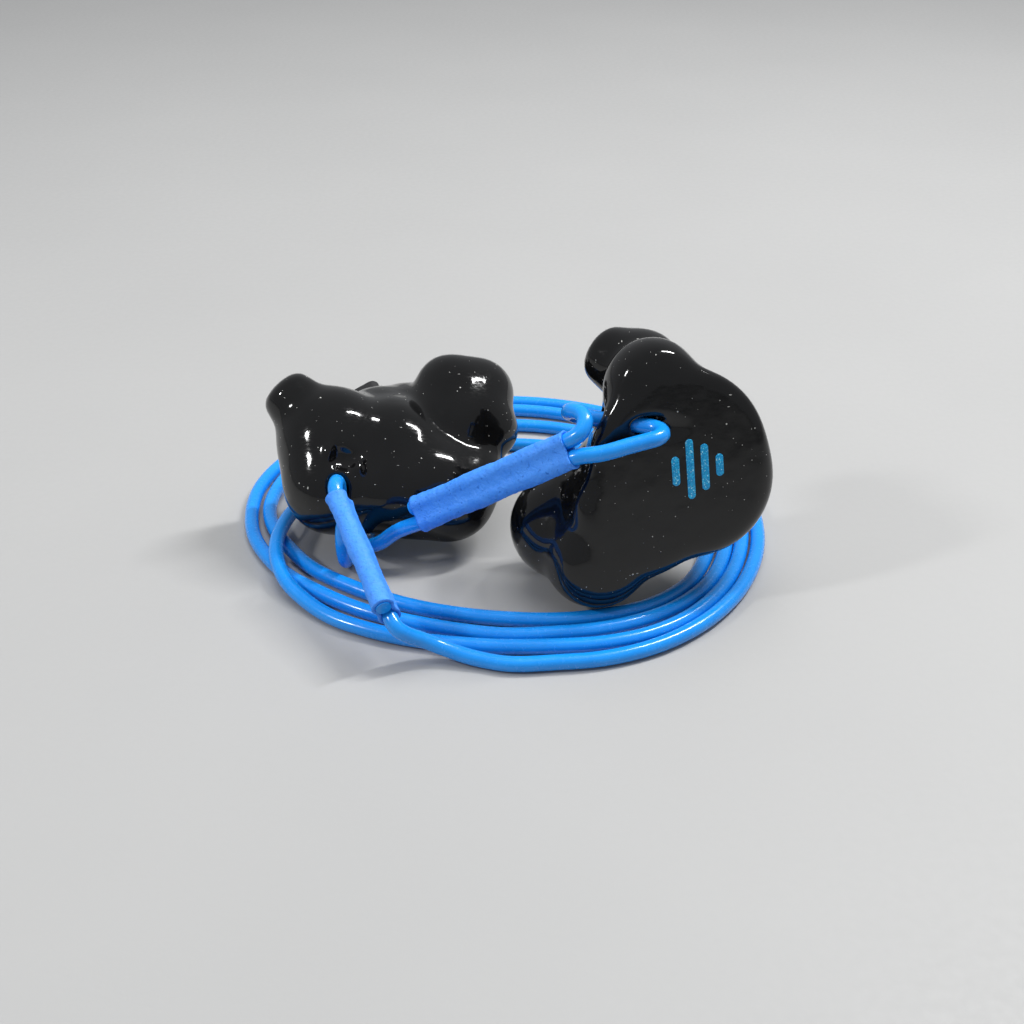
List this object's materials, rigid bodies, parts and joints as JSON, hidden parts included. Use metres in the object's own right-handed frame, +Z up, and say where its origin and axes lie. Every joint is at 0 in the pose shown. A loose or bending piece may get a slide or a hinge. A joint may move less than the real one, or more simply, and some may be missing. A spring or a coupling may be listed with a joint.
{
  "type": "in-ear monitors",
  "caption": "Pair of glossy black custom-moulded in-ear monitors with internal drivers, looped and clamped onto a coiled blue neck cord.",
  "frame": {"origin": "middle of the wound cord ring, on its flat underside", "axes": "+Z up; +X from the left ear towards the right ear, level; +Y away from the right faceplate"},
  "size_m": [0.066, 0.066, 0.0316],
  "materials": {
    "cord": "smooth bright blue solid plastic cord",
    "sleeve": "matte blue heat-shrink, finely wrinkled",
    "shell": "polished black lacquered acrylic",
    "faceplate": "polished black lacquered acrylic",
    "emblem": "cyan glitter inlay under lacquer",
    "driver": "bright drawn can",
    "board": "green solder mask",
    "tube": "clear soft tubing",
    "damper": "plated cup with mesh",
    "socket": "moulded black",
    "wire": "enamelled fine wire"
  },
  "bodies": {
    "root": {"cord_coil": "cord", "cord_lead": "cord", "cord_drop": "cord", "left_loop": "cord", "right_loop": "cord", "left_sleeve": "sleeve", "right_sleeve": "sleeve"},
    "right_ear": {"right_shell": "shell", "right_faceplate": "faceplate", "right_emblem": "emblem", "right_low_driver": "driver", "right_high_driver": "driver", "right_crossover": "board", "right_low_tube": "tube", "right_high_tube": "tube", "right_low_damper": "damper", "right_high_damper": "damper", "right_socket": "socket", "right_wires": "wire"},
    "left_ear": {"left_shell": "shell", "left_faceplate": "faceplate", "left_emblem": "emblem", "left_low_driver": "driver", "left_high_driver": "driver", "left_crossover": "board", "left_low_tube": "tube", "left_high_tube": "tube", "left_low_damper": "damper", "left_high_damper": "damper", "left_socket": "socket", "left_wires": "wire"}
  },
  "joints": [
    {"name": "right_swing", "type": "hinge", "parent": "root", "child": "right_ear", "pos_m": [0.01677, -0.01824, 0.02349], "axis": [0.9496, -0.3134, 0.0053], "range_deg": [0, 35]},
    {"name": "left_swing", "type": "hinge", "parent": "root", "child": "left_ear", "pos_m": [-0.01974, -0.0113, 0.01231], "axis": [0, -0.3966, 0.918], "range_deg": [0, 20]}
  ]
}
